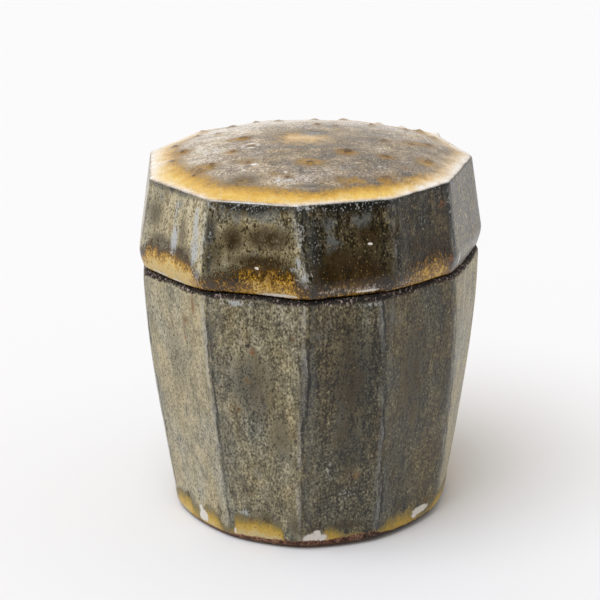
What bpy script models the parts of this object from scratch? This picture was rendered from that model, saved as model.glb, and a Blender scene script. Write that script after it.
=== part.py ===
"""Faceted stoneware jar with a cap lid, for Blender 4.5.

A potter throws the jar and its lid round, then cuts upright facets down the outside of both.
The lid is a cap: it comes down over an upright collar and rests on the jar's shoulder.
Lengths are in metres, +Z is up, and the origin is the middle of the foot. The front faces -Y.
A radius of the outside is measured to an arris, the ridge where two facets meet.
"""

import math

import bmesh
import bpy

# The jar's body, outside
BODY_HEIGHT = 0.0667        # foot to the shoulder that the lid rests on
BODY_RADIUS = 0.0423        # at the widest, just under the lip
FOOT_RADIUS = 0.0350        # where the wall would meet the ground
BODY_SWELL_POWER = 1.15     # over 1, the wall swells out late
LIP_HEIGHT = 0.0024         # the top of the wall turns in over this height
LIP_TUCK = 0.0009           # and by this much
FOOT_BEVEL_HEIGHT = 0.0009  # bare clay wiped back at the foot
FOOT_BEVEL_WIDTH = 0.0004
FOOT_RING_WIDTH = 0.0056
FOOT_RECESS = 0.0014

# The jar's body, inside
BODY_WALL = 0.0050          # at the middle of an average facet
FLOOR_THICKNESS = 0.0042    # above the recess of the foot
FLOOR_CORNER = 0.0055
NECK_HEIGHT = 0.0125        # the inside draws in to the mouth over this height
COLLAR_HEIGHT = 0.0063      # stands above the shoulder
COLLAR_WALL = 0.0036

# The lid
SEAT_GAP = 0.0003           # between the shoulder and the resting lid
LID_WALL_HEIGHT = 0.0213    # rim to the edge of the top
LID_OVERHANG = 0.0007       # the lid's widest stands out past the body's widest
LID_TAPER = 0.0026          # the edge of the top is this much smaller than the widest
LID_RIM_HEIGHT = 0.0040     # the bottom of the lid turns in over this height
LID_RIM_TUCK = 0.0013       # and by this much
LID_WALL = 0.0049           # at the rim, at the middle of an average facet
DOME_RISE = 0.0059
LID_BORE_DRAFT = 0.0006     # the bore narrows this much towards the top
LID_THICKNESS = 0.0056      # at the middle of the top
LID_CORNER = 0.0080         # inside, between the bore and the top
COLLAR_CLEARANCE = 0.0009   # all round, between the collar and the bore

EDGE_ROUND = 0.0007         # fingers and glaze soften every sharp edge
MERGE_DISTANCE = 0.00001

# Where the arrises stand, in degrees from the front, turning towards +X
LID_TOP_DIRECTIONS = (-101, -65, -33, -5, 30, 59, 95, 129, 162, 194, 226)
LID_RIM_DIRECTIONS = (-101, -66, -34, 1, 30, 56, 93, 128, 162, 194, 226)
SHOULDER_DIRECTIONS = (-101, -65, -33, 0, 24, 57, 93, 128, 161, 194, 227)
FOOT_DIRECTIONS = (-103, -73, -34, -4, 29, 66, 99, 131, 163, 193, 224)

# How far out each arris stands, as a share of the radius there
LID_TOP_ARRIS_SHARES = (1.00, 1.03, 1.04, 0.99, 0.96, 0.95, 1.00, 1.03, 1.03, 1.02, 1.00)
LID_RIM_ARRIS_SHARES = (1.00, 1.04, 1.05, 1.01, 0.96, 0.97, 1.01, 1.03, 1.03, 1.02, 1.00)
SHOULDER_ARRIS_SHARES = (1.00, 1.03, 1.04, 1.00, 0.97, 0.97, 1.00, 1.02, 1.03, 1.02, 1.00)
FOOT_ARRIS_SHARES = (1.01, 1.00, 0.99, 1.02, 0.98, 0.99, 1.03, 1.02, 1.01, 1.00, 0.99)

# Lengthwise edges across one facet, as shares of its width. The first and last stand just
# off the arris, which leaves a narrow worn band along it.
FACET_EDGE_SHARES = (0.04, 0.35, 0.65, 0.96)

# Rings of each stretch of a profile, as shares of that stretch's length
FLOOR_TO_NECK_RING_SHARES = (0.3, 0.65, 1.0)
NECK_RING_SHARES = (0.25, 0.5, 0.75, 1.0)
LIP_RING_SHARES = (1.0, 0.6, 0.0)
BODY_WALL_RING_SHARES = (0.88, 0.74, 0.6, 0.45, 0.3, 0.17, 0.07, 0.0)
DOME_RING_SHARES = (0.3, 0.55, 0.75, 0.9, 1.0)
LID_WALL_RING_SHARES = (0.65, 0.3, 0.0)
LID_RIM_RING_SHARES = (0.6, 1.0)
CORNER_DEGREES = (0, 30, 60, 90)

# How flat the facets' cut leaves a ring: 1 lies on the facets, 0 stays as round as thrown
CUT_SHARE = 1.0
THROWN_SHARE = 0.0
FOOT_CUT_SHARE = 0.5
DOME_CUT_SHARES = (0.0, 0.1, 0.3, 0.7, 1.0)

FACETS = len(LID_TOP_DIRECTIONS)
FACET_MIDDLE = math.cos(math.pi / FACETS)
TURN_STEPS = FACETS * len(FACET_EDGE_SHARES)

LID_RADIUS = BODY_RADIUS + LID_OVERHANG
LID_TOP_RADIUS = LID_RADIUS - LID_TAPER
LID_BORE_RADIUS = (LID_RADIUS - LID_RIM_TUCK) * FACET_MIDDLE - LID_WALL
COLLAR_RADIUS = LID_BORE_RADIUS - COLLAR_CLEARANCE
MOUTH_RADIUS = COLLAR_RADIUS - COLLAR_WALL
FLOOR_HEIGHT = FOOT_RECESS + FLOOR_THICKNESS
COLLAR_TOP = BODY_HEIGHT + COLLAR_HEIGHT
LID_RIM = BODY_HEIGHT + SEAT_GAP
LID_EDGE = LID_RIM + LID_WALL_HEIGHT


def clear_scene():
    """Empty the scene of objects."""
    for thing in list(bpy.data.objects):
        bpy.data.objects.remove(thing, do_unlink=True)


def between(start, end, share):
    """A value part of the way from start to end."""
    return start + (end - start) * share


def body_radius(height):
    """Radius of the body's outside, to an arris, at a height over the foot."""
    swell = math.sin(math.pi / 2 * (height / BODY_HEIGHT) ** BODY_SWELL_POWER)
    return between(FOOT_RADIUS, BODY_RADIUS, swell)


def inside_radius(height):
    """Radius of the body's round inside, below the neck."""
    return body_radius(height) * FACET_MIDDLE - BODY_WALL


def dome_height(radius):
    """Height of the lid's thrown top at a radius."""
    return LID_EDGE + DOME_RISE * (1 - (radius / LID_TOP_RADIUS) ** 2)


def inside_profile():
    """Points (radius, height, cut share) from the middle of the floor up to the mouth."""
    points = [(0, FLOOR_HEIGHT, THROWN_SHARE)]
    corner_top = FLOOR_HEIGHT + FLOOR_CORNER
    corner_middle = inside_radius(corner_top) - FLOOR_CORNER
    for degrees in CORNER_DEGREES:
        turn = math.radians(degrees)
        radius = corner_middle + FLOOR_CORNER * math.sin(turn)
        height = corner_top - FLOOR_CORNER * math.cos(turn)
        points.append((radius, height, THROWN_SHARE))
    neck_bottom = BODY_HEIGHT - NECK_HEIGHT
    for share in FLOOR_TO_NECK_RING_SHARES:
        height = between(corner_top, neck_bottom, share)
        points.append((inside_radius(height), height, THROWN_SHARE))
    for share in NECK_RING_SHARES:
        ease = (1 - math.cos(math.pi * share)) / 2
        radius = between(inside_radius(neck_bottom), MOUTH_RADIUS, ease)
        height = between(neck_bottom, BODY_HEIGHT, share)
        points.append((radius, height, THROWN_SHARE))
    return points


def body_profile():
    """Points (radius, height, cut share) from inside, over the collar, down to the foot."""
    points = inside_profile()
    points.append((MOUTH_RADIUS, COLLAR_TOP, THROWN_SHARE))
    points.append((COLLAR_RADIUS, COLLAR_TOP, THROWN_SHARE))
    points.append((COLLAR_RADIUS, BODY_HEIGHT, THROWN_SHARE))
    lip_bottom = BODY_HEIGHT - LIP_HEIGHT
    for share in LIP_RING_SHARES:
        height = between(lip_bottom, BODY_HEIGHT, share)
        radius = body_radius(height) - LIP_TUCK * share ** 2
        points.append((radius, height, CUT_SHARE))
    for share in BODY_WALL_RING_SHARES:
        height = between(FOOT_BEVEL_HEIGHT, lip_bottom, share)
        points.append((body_radius(height), height, CUT_SHARE))
    foot_edge = FOOT_RADIUS - FOOT_BEVEL_WIDTH
    ring_inside = foot_edge * FACET_MIDDLE - FOOT_RING_WIDTH
    points.append((foot_edge, 0, FOOT_CUT_SHARE))
    points.append((ring_inside, 0, THROWN_SHARE))
    points.append((ring_inside - FOOT_RECESS, FOOT_RECESS, THROWN_SHARE))
    points.append((0, FOOT_RECESS, THROWN_SHARE))
    return points


def lid_profile():
    """Points (radius, height, cut share) from the top's middle, down and back up the bore."""
    points = [(0, dome_height(0), THROWN_SHARE)]
    for share, cut in zip(DOME_RING_SHARES, DOME_CUT_SHARES):
        radius = LID_TOP_RADIUS * share
        points.append((radius, dome_height(radius), cut))
    widest = LID_RIM + LID_RIM_HEIGHT
    for share in LID_WALL_RING_SHARES:
        radius = between(LID_RADIUS, LID_TOP_RADIUS, share)
        points.append((radius, between(widest, LID_EDGE, share), CUT_SHARE))
    for share in LID_RIM_RING_SHARES:
        radius = LID_RADIUS - LID_RIM_TUCK * share ** 2
        points.append((radius, between(widest, LID_RIM, share), CUT_SHARE))
    points.append((LID_BORE_RADIUS, LID_RIM, THROWN_SHARE))
    corner_middle = LID_BORE_RADIUS - LID_BORE_DRAFT - LID_CORNER
    corner_height = dome_height(corner_middle) - LID_THICKNESS - LID_CORNER
    for degrees in CORNER_DEGREES:
        turn = math.radians(degrees)
        radius = corner_middle + LID_CORNER * math.cos(turn)
        height = corner_height + LID_CORNER * math.sin(turn)
        points.append((radius, height, THROWN_SHARE))
    half_way = corner_middle / 2
    points.append((half_way, dome_height(half_way) - LID_THICKNESS, THROWN_SHARE))
    points.append((0, dome_height(0) - LID_THICKNESS, THROWN_SHARE))
    return points


def turned(name, profile):
    """Mesh of a profile turned about the Z axis, which keeps each point's cut share."""
    outline = bpy.data.meshes.new(name + "_profile")
    vertices = [(radius, 0, height) for radius, height, cut in profile]
    edges = [(first, first + 1) for first in range(len(profile) - 1)]
    outline.from_pydata(vertices, edges, [])
    cuts = outline.attributes.new("cut_share", "FLOAT", "POINT")
    cuts.data.foreach_set("value", [cut for radius, height, cut in profile])
    carrier = bpy.data.objects.new(name + "_profile", outline)
    bpy.context.scene.collection.objects.link(carrier)
    turn = carrier.modifiers.new("turn", "SCREW")
    turn.axis = "Z"
    turn.steps = TURN_STEPS
    turn.render_steps = TURN_STEPS
    turn.use_merge_vertices = True
    turn.merge_threshold = MERGE_DISTANCE
    turn.use_smooth_shade = False
    depsgraph = bpy.context.evaluated_depsgraph_get()
    mesh = bpy.data.meshes.new_from_object(carrier.evaluated_get(depsgraph))
    mesh.name = name
    bpy.data.objects.remove(carrier, do_unlink=True)
    bpy.data.meshes.remove(outline)
    return mesh


def arris_place(directions, shares, number):
    """Where an arris stands on a circle of radius 1, counting on past a full turn."""
    turns, place = divmod(number, FACETS)
    angle = math.radians(directions[place]) + turns * math.tau
    return shares[place] * math.sin(angle), -shares[place] * math.cos(angle)


def facet_place(directions, shares, step):
    """Where a lengthwise edge of the turned form stands on its facet, at radius 1."""
    number, place = divmod(step, len(FACET_EDGE_SHARES))
    across = FACET_EDGE_SHARES[place]
    start = arris_place(directions, shares, number)
    end = arris_place(directions, shares, number + 1)
    return between(start[0], end[0], across), between(start[1], end[1], across)


def thrown_place(directions, step):
    """Where the same edge stands before the cut, with all edges evenly apart."""
    angle = math.radians(directions[0]) + (step + 0.5) / TURN_STEPS * math.tau
    return math.sin(angle), -math.cos(angle)


def cut_facets(mesh, low, high):
    """Move the rings of a turned mesh onto its facets, as far as their cut shares say.

    low and high each give the height, directions and shares of the arrises at one end of
    the cut. Between the two ends each arris runs straight.
    """
    form = bmesh.new()
    form.from_mesh(mesh)
    cuts = form.verts.layers.float["cut_share"]
    for vertex in form.verts:
        radius = math.hypot(vertex.co.x, vertex.co.y)
        if radius < MERGE_DISTANCE:
            continue
        turned_by = math.atan2(vertex.co.y, vertex.co.x) / math.tau
        step = round(turned_by * TURN_STEPS) % TURN_STEPS
        up = (vertex.co.z - low[0]) / (high[0] - low[0])
        up = min(max(up, 0), 1)
        low_place = facet_place(low[1], low[2], step)
        high_place = facet_place(high[1], high[2], step)
        x = between(low_place[0], high_place[0], up)
        y = between(low_place[1], high_place[1], up)
        thrown_x, thrown_y = thrown_place(high[1], step)
        vertex.co.x = radius * between(thrown_x, x, vertex[cuts])
        vertex.co.y = radius * between(thrown_y, y, vertex[cuts])
    form.to_mesh(mesh)
    form.free()


def glaze(name, colour, roughness):
    """Material of one glaze."""
    finish = bpy.data.materials.new(name)
    finish.use_nodes = True
    shader = finish.node_tree.nodes["Principled BSDF"]
    shader.inputs["Base Color"].default_value = (*colour, 1.0)
    shader.inputs["Roughness"].default_value = roughness
    shader.inputs["Metallic"].default_value = 0.0
    return finish


def thrown_piece(name, profile, low, high, finish, collection):
    """One piece: turned from its profile, cut into facets, and softened at its edges."""
    mesh = turned(name, profile)
    cut_facets(mesh, low, high)
    mesh.materials.append(finish)
    mesh.shade_smooth()
    mesh.set_sharp_from_angle(angle=math.radians(40))
    thing = bpy.data.objects.new(name, mesh)
    collection.objects.link(thing)
    soften = thing.modifiers.new("soften", "BEVEL")
    soften.width = EDGE_ROUND
    soften.segments = 2
    soften.limit_method = "ANGLE"
    soften.angle_limit = math.radians(55)


def main():
    """Make the jar's body, and its lid resting in place."""
    clear_scene()
    jar = bpy.data.collections.new("faceted_jar")
    bpy.context.scene.collection.children.link(jar)
    thrown_piece(
        "jar_body",
        body_profile(),
        (0, FOOT_DIRECTIONS, FOOT_ARRIS_SHARES),
        (BODY_HEIGHT, SHOULDER_DIRECTIONS, SHOULDER_ARRIS_SHARES),
        glaze("olive_ash_glaze", (0.11, 0.10, 0.07), 0.38),
        jar,
    )
    thrown_piece(
        "lid",
        lid_profile(),
        (LID_RIM, LID_RIM_DIRECTIONS, LID_RIM_ARRIS_SHARES),
        (LID_EDGE, LID_TOP_DIRECTIONS, LID_TOP_ARRIS_SHARES),
        glaze("amber_ash_glaze", (0.16, 0.13, 0.08), 0.32),
        jar,
    )


main()
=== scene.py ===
"""Looks for a small faceted jar with a cap lid: stoneware thrown round, cut into eleven facets and ash glazed.

Both visible pieces are made by one Geometry Nodes tree that does what the potter does: it turns a profile,
cuts the facets between arrises, and lays a rippled glaze with raised iron spots on the cut clay. What the kiln
left in known places, such as amber pools and rust, is painted on the points of the finished mesh in named
layers, and so is painted light and shade: facets and the lid's top paler where the light falls, glints on the
lid's walls, and shade in the joint and under the foot. The glaze materials read those layers. Lengths are in
millimetres up to the mesh, which is in metres.
"""

import math

import bpy
import numpy as np
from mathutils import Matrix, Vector


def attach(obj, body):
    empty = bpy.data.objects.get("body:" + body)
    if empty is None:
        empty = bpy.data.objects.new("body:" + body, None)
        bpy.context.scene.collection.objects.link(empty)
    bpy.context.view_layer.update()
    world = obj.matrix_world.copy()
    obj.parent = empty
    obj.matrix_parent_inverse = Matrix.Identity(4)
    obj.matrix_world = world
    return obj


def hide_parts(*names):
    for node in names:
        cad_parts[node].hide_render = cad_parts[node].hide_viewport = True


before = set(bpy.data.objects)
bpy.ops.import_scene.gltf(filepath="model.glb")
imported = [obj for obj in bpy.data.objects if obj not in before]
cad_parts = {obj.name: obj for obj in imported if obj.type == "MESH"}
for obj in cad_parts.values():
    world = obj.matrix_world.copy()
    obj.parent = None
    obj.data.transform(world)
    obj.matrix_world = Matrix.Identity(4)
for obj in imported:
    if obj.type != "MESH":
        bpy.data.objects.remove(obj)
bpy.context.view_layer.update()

MM = 0.001

# The form, as in the CAD part, in mm; directions run from the front of the photo towards its right.
FACETS = 11
FRONT_FACETS = 6
# Mesh steps across each facet: fine on the side that was photographed, coarser behind.
FRONT_STEPS = 50
BACK_STEPS = 24
LID_TOP_DIRECTIONS = (-101, -65, -33, -5, 30, 59, 95, 129, 162, 194, 226)
LID_RIM_DIRECTIONS = (-101, -66, -34, 1, 30, 56, 93, 128, 162, 194, 226)
SHOULDER_DIRECTIONS = (-101, -65, -33, 0, 24, 57, 93, 128, 161, 194, 227)
FOOT_DIRECTIONS = (-103, -73, -34, -4, 29, 66, 99, 131, 163, 193, 224)
LID_TOP_SHARES = (1, 1.03, 1.04, 0.99, 0.96, 0.95, 1, 1.03, 1.03, 1.02, 1)
LID_RIM_SHARES = (1, 1.04, 1.05, 1.01, 0.96, 0.97, 1.01, 1.03, 1.03, 1.02, 1)
SHOULDER_SHARES = (1, 1.03, 1.04, 1, 0.97, 0.97, 1, 1.02, 1.03, 1.02, 1)
FOOT_SHARES = (1.01, 1, 0.99, 1.02, 0.98, 1.01, 1.05, 1.02, 1.01, 1, 0.99)

FOOT_RADIUS = 35.0
BODY_RADIUS = 42.3
BODY_HEIGHT = 66.7
BODY_SWELL = 1.15
FOOT_RING_INSIDE = 27.6
FOOT_RECESS = 1.4
LIP_HEIGHT = 2.4
LIP_TUCK = 0.9
COLLAR_RADIUS = 34.2
MOUTH_RADIUS = 30.6
COLLAR_TOP = 73.0
BODY_WALL = 5.0
NECK_HEIGHT = 12.5
FLOOR_HEIGHT = 5.6
FLOOR_CORNER = 5.5
FACET_MIDDLE = math.cos(math.pi / FACETS)
# The dressed shoulder and collar stay this far below the CAD's.
CLAY_GAP = 0.1

LID_RIM = 67.0
LID_EDGE = 88.3
LID_RADIUS = 43.0
LID_TOP_RADIUS = 40.4
LID_RIM_HEIGHT = 4.0
LID_RIM_TUCK = 1.3
LID_BORE_RADIUS = 35.2
LID_CORNER = 8.0
LID_CORNER_HEIGHT = 78.1
DOME_RISE = 5.7
LID_THICKNESS = 5.6
LID_WALL_RADIUS = 42.0

# Over how many mesh steps each ring of arrises is rounded: the foot was wiped softest, the lid's rim cut sharpest.
FOOT_SOFTNESS = 10
SHOULDER_SOFTNESS = 4
LID_RIM_SOFTNESS = 6
LID_TOP_SOFTNESS = 2
# A profile is walked in steps of so many mm, its corners are rounded over so many steps, and points that meet in the
# middle or behind are welded.
PROFILE_GRAIN = 0.12
PROFILE_SOFTNESS = 5
WELD_DISTANCE = 0.02

# The joint line under the lid sagged in the fire: direction, how far it hangs below its level in mm.
SEAM_SAG = (
    (-101, 0.6), (-66, 0.85), (-50, 0.85), (-42, 0.7), (-37, 0.25), (-27, 0.1), (-18, 0.1), (-12, 0.35), (-8, 0.6),
    (-2.5, 0.6), (4, 0.4), (10, 0.55), (15, 0.7), (25, 0.75), (31, 0.6), (41, 0.65), (52, 0.5), (60, 0.8), (70, 1.6),
    (80, 1.5), (95, 0.8), (120, 0.2), (160, 0.5), (200, 0.3), (230, 0.5),
)


def body_radius(height):
    """How far the body's arrises stand from the axis at a height."""
    share = min(max(height, 0.0), BODY_HEIGHT) / BODY_HEIGHT
    return FOOT_RADIUS + (BODY_RADIUS - FOOT_RADIUS) * math.sin(math.pi / 2 * share ** BODY_SWELL)


def dome_height(radius):
    """The lid's top, a low dome over the flat ring where its walls end."""
    return LID_EDGE + DOME_RISE * (1 - (radius / LID_TOP_RADIUS) ** 2)


def body_profile():
    """The body from under its foot, out over the wall, up the collar and down inside.

    Each row holds radius, height, cut, level, outside, sag and step. Cut is 0 where the pot stayed round, as its
    foot did, and 1 where the knife went through. Level is 0 at the wall's low end and 1 at its high end. Outside is
    1 on the glazed wall. Sag is how fully the row follows the sagging joint line. Step is how far apart points lie.
    """
    line = [(0.01, FOOT_RECESS, 0, 0, 0, 0, 2.0), (FOOT_RING_INSIDE - 2.2, FOOT_RECESS, 0, 0, 0, 0, 0.6),
            (FOOT_RING_INSIDE, 0.15, 0, 0, 0, 0, 0.6), (FOOT_RING_INSIDE + 0.6, 0.05, 0, 0, 0, 0, 0.8),
            (33.0, 0.05, 0.15, 0, 0, 0, 0.35), (34.0, 0.35, 0.2, 0, 0.1, 0, 0.35), (34.5, 0.85, 0.22, 0, 0.3, 0, 0.35),
            (34.85, 1.5, 0.25, 0, 0.6, 0, 0.35)]
    for height in np.linspace(2.2, BODY_HEIGHT - LIP_HEIGHT, 60):
        cut = float(np.interp(height, (0, 3, 8, 16), (0.3, 0.5, 0.85, 1)))
        line.append((body_radius(height) - 0.3 * (1 - cut), height, cut, height / BODY_HEIGHT, 1, 0, 0.5))
    for share in np.linspace(0.2, 1.0, 5):
        height = BODY_HEIGHT - LIP_HEIGHT * (1 - share)
        line.append((body_radius(height) - LIP_TUCK * share ** 2, height, 1, height / BODY_HEIGHT, 1, share, 0.4))
    shoulder, rim = BODY_HEIGHT - CLAY_GAP, COLLAR_TOP - CLAY_GAP
    line += [(38.0, shoulder, 0.5, 1, 0.5, 0.9, 0.8), (COLLAR_RADIUS + 0.5, shoulder, 0, 1, 0, 0.5, 0.6),
             (COLLAR_RADIUS, BODY_HEIGHT + 0.5, 0, 1, 0, 0, 0.8), (COLLAR_RADIUS, rim, 0, 1, 0, 0, 0.5),
             (MOUTH_RADIUS, rim, 0, 1, 0, 0, 0.5), (MOUTH_RADIUS, BODY_HEIGHT, 0, 1, 0, 0, 1.2)]
    inside_shoulder = body_radius(BODY_HEIGHT - NECK_HEIGHT) * FACET_MIDDLE - BODY_WALL
    for share in np.linspace(0.1, 1.0, 10):
        eased = (1 + math.cos(math.pi * share)) / 2
        line.append((inside_shoulder + (MOUTH_RADIUS - inside_shoulder) * eased,
                     BODY_HEIGHT - NECK_HEIGHT * share, 0, 1, 0, 0, 1.6))
    for height in np.linspace(BODY_HEIGHT - NECK_HEIGHT - 3, FLOOR_HEIGHT + FLOOR_CORNER, 12):
        line.append((body_radius(height) * FACET_MIDDLE - BODY_WALL, height, 0, 1, 0, 0, 2.2))
    floor_radius = body_radius(FLOOR_HEIGHT + FLOOR_CORNER) * FACET_MIDDLE - BODY_WALL - FLOOR_CORNER
    for turn in np.linspace(15, 90, 6):
        angle = math.radians(turn)
        line.append((floor_radius + FLOOR_CORNER * math.cos(angle),
                     FLOOR_HEIGHT + FLOOR_CORNER * (1 - math.sin(angle)), 0, 1, 0, 0, 1.4))
    line.append((0.01, FLOOR_HEIGHT, 0, 1, 0, 0, 2.0))
    return line


def lid_profile():
    """The lid from the middle of its top, out over the rim, down the wall and up inside, in rows like the body's."""
    line = []
    for share in np.linspace(0, 1, 40):
        radius = max(0.01, LID_TOP_RADIUS * share)
        cut = float(np.interp(share, (0, 0.3, 0.55, 0.75, 0.9, 1), (0, 0, 0.1, 0.3, 0.7, 1)))
        line.append((radius, dome_height(radius), cut, 1, 1, 0, 0.5))
    for share in np.linspace(0.05, 1, 20):
        height = LID_EDGE + (LID_RIM + LID_RIM_HEIGHT - LID_EDGE) * share
        line.append((LID_TOP_RADIUS + (LID_RADIUS - LID_TOP_RADIUS) * share, height, 1,
                     (height - LID_RIM) / (LID_EDGE - LID_RIM), 1, 0, 0.42))
    for share in np.linspace(0.15, 1, 7):
        line.append((LID_RADIUS - LID_RIM_TUCK * share ** 2, LID_RIM + LID_RIM_HEIGHT * (1 - share),
                     1, (LID_RIM_HEIGHT * (1 - share)) / (LID_EDGE - LID_RIM), 1, share ** 2, 0.35))
    line += [(38.5, LID_RIM + 0.05, 0.5, 0, 0, 0.4, 0.7), (LID_BORE_RADIUS + 0.4, LID_RIM + 0.05, 0, 0, 0, 0, 0.6),
             (LID_BORE_RADIUS, LID_RIM + 0.5, 0, 0, 0, 0, 1.5)]
    corner_radius = LID_BORE_RADIUS - 0.6 - LID_CORNER
    for turn in np.linspace(0, 78, 10):
        angle = math.radians(turn)
        line.append((corner_radius + LID_CORNER * math.cos(angle),
                     LID_CORNER_HEIGHT + LID_CORNER * math.sin(angle), 0, 0, 0, 0, 1.4))
    for radius in np.linspace(corner_radius - 2, 0.01, 12):
        line.append((radius, dome_height(radius) - LID_THICKNESS, 0, 0, 0, 0, 2.2))
    return line


def softened(values, reach, closed):
    """Each value averaged with its neighbours, nearer ones more, as glaze and wet fingers round an edge."""
    weights = np.concatenate([np.arange(1, reach + 1), np.arange(reach + 1, 0, -1)]).astype(float)
    weights /= weights.sum()
    padded = np.pad(values, ((reach, reach), (0, 0)), mode="wrap" if closed else "edge")
    return sum(w * padded[i:i + len(values)] for i, w in enumerate(weights))


def place_in_scene(name, data):
    """A new object at the origin, unturned."""
    made = bpy.data.objects.new(name, data)
    bpy.context.scene.collection.objects.link(made)
    return made


def from_front(direction, radius):
    """The x and y of a place: its direction from the front towards the right, and how far it is from the axis."""
    turn = math.radians(direction)
    return radius * math.sin(turn), -radius * math.cos(turn)


def wire(name, places, layers):
    """An open chain of points, with the named layers on them, for the tree to turn into a curve."""
    mesh = bpy.data.meshes.new(name)
    mesh.from_pydata([tuple(p) for p in places], [(i, i + 1) for i in range(len(places) - 1)], [])
    for layer, values in layers.items():
        values = np.asarray(values, float)
        kind, key = ("FLOAT_VECTOR", "vector") if values.ndim == 2 else ("FLOAT", "value")
        mesh.attributes.new(layer, kind, "POINT").data.foreach_set(key, values.ravel())
    return place_in_scene(name, mesh)


def profile_wire(name, line):
    """The profile walked in fine steps, its corners softened, then thinned to the step each part asks for."""
    line = np.array(line, float)
    run = np.concatenate([[0], np.cumsum(np.hypot(*np.diff(line[:, :2], axis=0).T))])
    fine = np.arange(0, run[-1], PROFILE_GRAIN)
    walked = np.stack([np.interp(fine, run, line[:, i]) for i in range(line.shape[1])], 1)
    walked = softened(walked, PROFILE_SOFTNESS, False)
    walked[0], walked[-1] = line[0], line[-1]
    kept, last = [0], 0.0
    for i in range(1, len(fine)):
        if fine[i] - last >= walked[i, 6]:
            kept.append(i)
            last = fine[i]
    kept[-1] = len(fine) - 1
    from_axis, height, cut, level, outside, sag, _ = walked[kept].T
    places = np.stack([from_axis, np.zeros(len(kept)), height], 1) * MM
    return wire(name, places, {"from_axis": from_axis * MM, "height": height * MM, "cut": cut, "level": level,
                               "outside": outside, "sag": sag, "run": fine[kept]})


def arris_wire(name, low, high):
    """Once round the jar: where the cut wall stands at its low and its high end, for a radius of one.

    Each end is given by its arrises' directions, their shares of the radius, and its softness in mesh steps.
    """
    facet_steps = [FRONT_STEPS if facet < FRONT_FACETS else BACK_STEPS for facet in range(FACETS)]
    ends = []
    for directions, shares, softness in (low, high):
        corners = np.array([from_front(d, s) for d, s in zip(directions, shares)])
        ring = [corners[facet] + (corners[(facet + 1) % FACETS] - corners[facet]) * step / steps
                for facet, steps in enumerate(facet_steps) for step in range(steps)]
        ring = softened(np.array(ring), softness, True)
        ends.append(np.column_stack([ring, np.zeros(len(ring))])[[*range(len(ring)), 0]])
    facet_place = [facet + step / steps for facet, steps in enumerate(facet_steps) for step in range(steps)]
    middle = (ends[0] + ends[1]) / 2
    round_place = middle / np.linalg.norm(middle, axis=1, keepdims=True)
    sagging = round_the_jar(np.degrees(np.arctan2(middle[:, 0], -middle[:, 1])), SEAM_SAG)[0] * MM
    return wire(name, round_place, {"sagging": sagging, "round_place": round_place, "low_place": ends[0],
                                    "high_place": ends[1], "facet_place": facet_place + [FACETS]})


def add(tree, kind, inputs=(), out=0, stops=(), **settings):
    """Adds one node, sets its properties and ramp stops, and gives its inputs a value or a link each.

    Kind is the node's type without its family, such as Math. Inputs are a plain row, or named or numbered. It
    returns the output that out names or numbers, or the node itself where out is None.
    """
    family = tree.bl_idname.removesuffix("Tree")
    node = tree.nodes.new((family if hasattr(bpy.types, family + kind) else "ShaderNode") + kind)
    for key, value in settings.items():
        setattr(node, key, value)
    for i, (place, colour) in enumerate(stops):
        stop = node.color_ramp.elements[i] if i < 2 else node.color_ramp.elements.new(place)
        stop.position, stop.color = place, linear(colour)
    for key, value in inputs.items() if isinstance(inputs, dict) else enumerate(inputs):
        if isinstance(value, bpy.types.NodeSocket):
            tree.links.new(value, node.inputs[key])
        else:
            node.inputs[key].default_value = value
    return node.outputs[out] if out is not None else node


def fresh_tree(owner):
    """The node tree of a new material or world, switched on and emptied."""
    owner.use_nodes = True
    owner.node_tree.nodes.clear()
    return owner.node_tree


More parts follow.
